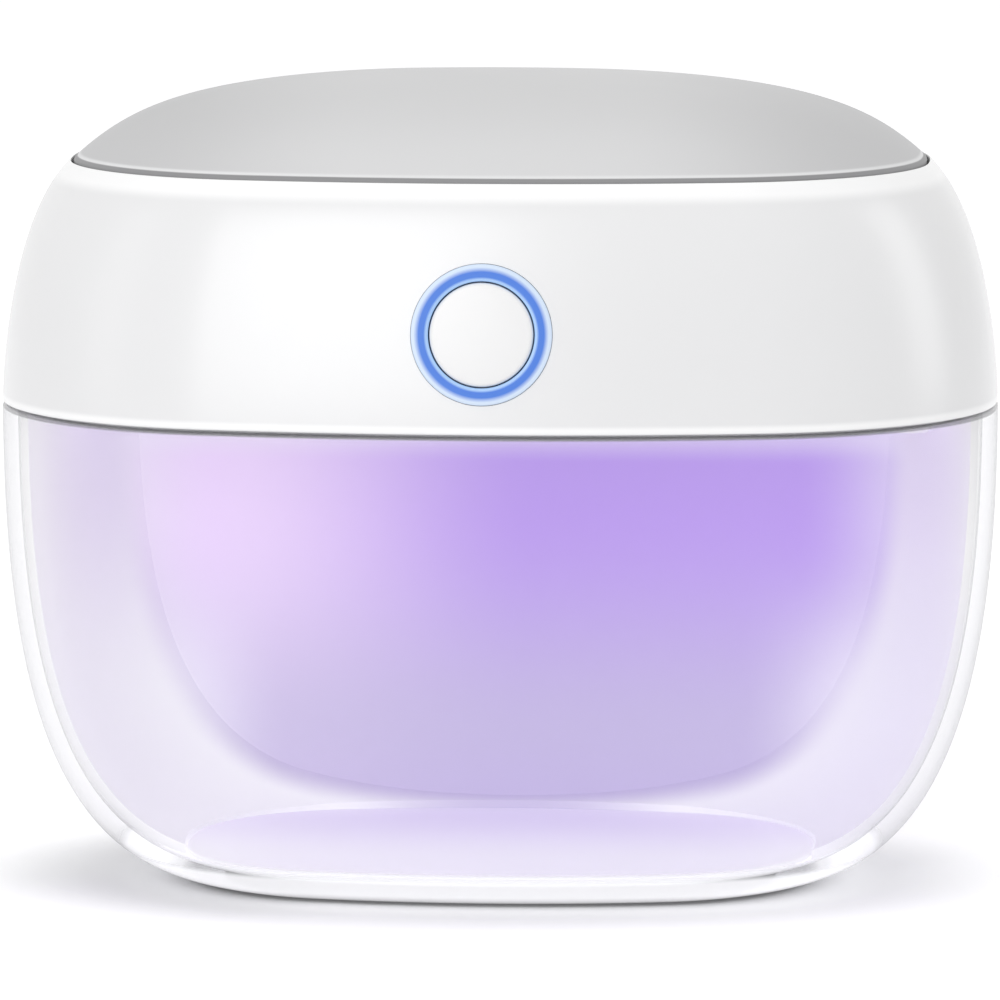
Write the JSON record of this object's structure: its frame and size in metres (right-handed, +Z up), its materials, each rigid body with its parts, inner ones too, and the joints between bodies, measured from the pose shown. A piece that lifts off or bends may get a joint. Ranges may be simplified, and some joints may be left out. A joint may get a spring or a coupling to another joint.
{
  "type": "pacifier sterilizer case",
  "caption": "Clear oval case with a hinged white lid, a domed grey cover and a lit power button; lamps under the lid sterilize what stands on its raised floor.",
  "frame": {"origin": "on the table under the middle of the bowl's flat foot", "axes": "+X to the right seen from the button side, +Y to the rear where the hinge is, +Z up"},
  "size_m": [0.104, 0.0727, 0.0845],
  "materials": {
    "clear_bowl": "clear moulded plastic, high gloss",
    "liner_white": "white moulded plastic, satin gloss",
    "shell_white": "white moulded plastic, high gloss",
    "cover_grey": "light grey moulded plastic, soft gloss",
    "ring_blue": "milky light-guide plastic, lit blue from behind",
    "button_white": "white moulded plastic, satin",
    "seal_silicone": "soft silicone, matte",
    "steel": "zinc-plated steel",
    "port_steel": "drawn stainless steel",
    "nickel": "nickel-plated magnet",
    "circuit_green": "circuit board with green solder mask",
    "circuit_white": "aluminium-backed circuit board with white mask",
    "black_plastic": "black moulded plastic",
    "lamp_ceramic": "white ceramic lamp body",
    "quartz": "polished quartz",
    "reflector": "bright vacuum-coated aluminium",
    "tray_grey": "pale grey moulded plastic",
    "battery_foil": "foil pouch, satin"
  },
  "bodies": {
    "base": {"clear_bowl": "clear_bowl", "chamber_liner": "liner_white", "floor_plate": "liner_white", "catch_magnets": "nickel", "hinge_bracket": "shell_white", "bracket_screws": "steel", "hinge_pin": "steel"},
    "lid": {"head_shell": "shell_white", "top_cover": "cover_grey", "light_ring": "ring_blue", "button_board": "circuit_green", "button_board_screws": "steel", "tact_switch": "black_plastic", "ring_lamps": "lamp_ceramic", "lid_seal": "seal_silicone", "lamp_plate": "shell_white", "plate_screws": "steel", "lid_magnets": "nickel", "lamp_window": "quartz", "lamp_reflector": "reflector", "lamp_board": "circuit_white", "uv_lamps": "lamp_ceramic", "lamp_board_screws": "steel", "hall_sensor": "black_plastic", "battery_tray": "tray_grey", "battery": "battery_foil", "main_board": "circuit_green", "board_screws": "steel", "charge_port": "port_steel", "control_chips": "black_plastic"},
    "button": {"button_cap": "button_white", "switch_tip": "tray_grey"}
  },
  "joints": [
    {"name": "lid_hinge", "type": "hinge", "parent": "base", "child": "lid", "pos_m": [0, 0.0352, 0.0503], "axis": [-1, 0, 0], "range_deg": [0, 100]},
    {"name": "button_press", "type": "slide", "parent": "lid", "child": "button", "axis": [0, 0.9933, -0.1159], "range_m": [0, 0.0005], "stiffness_N_per_m": 1500, "springref_m": -0.0003}
  ]
}
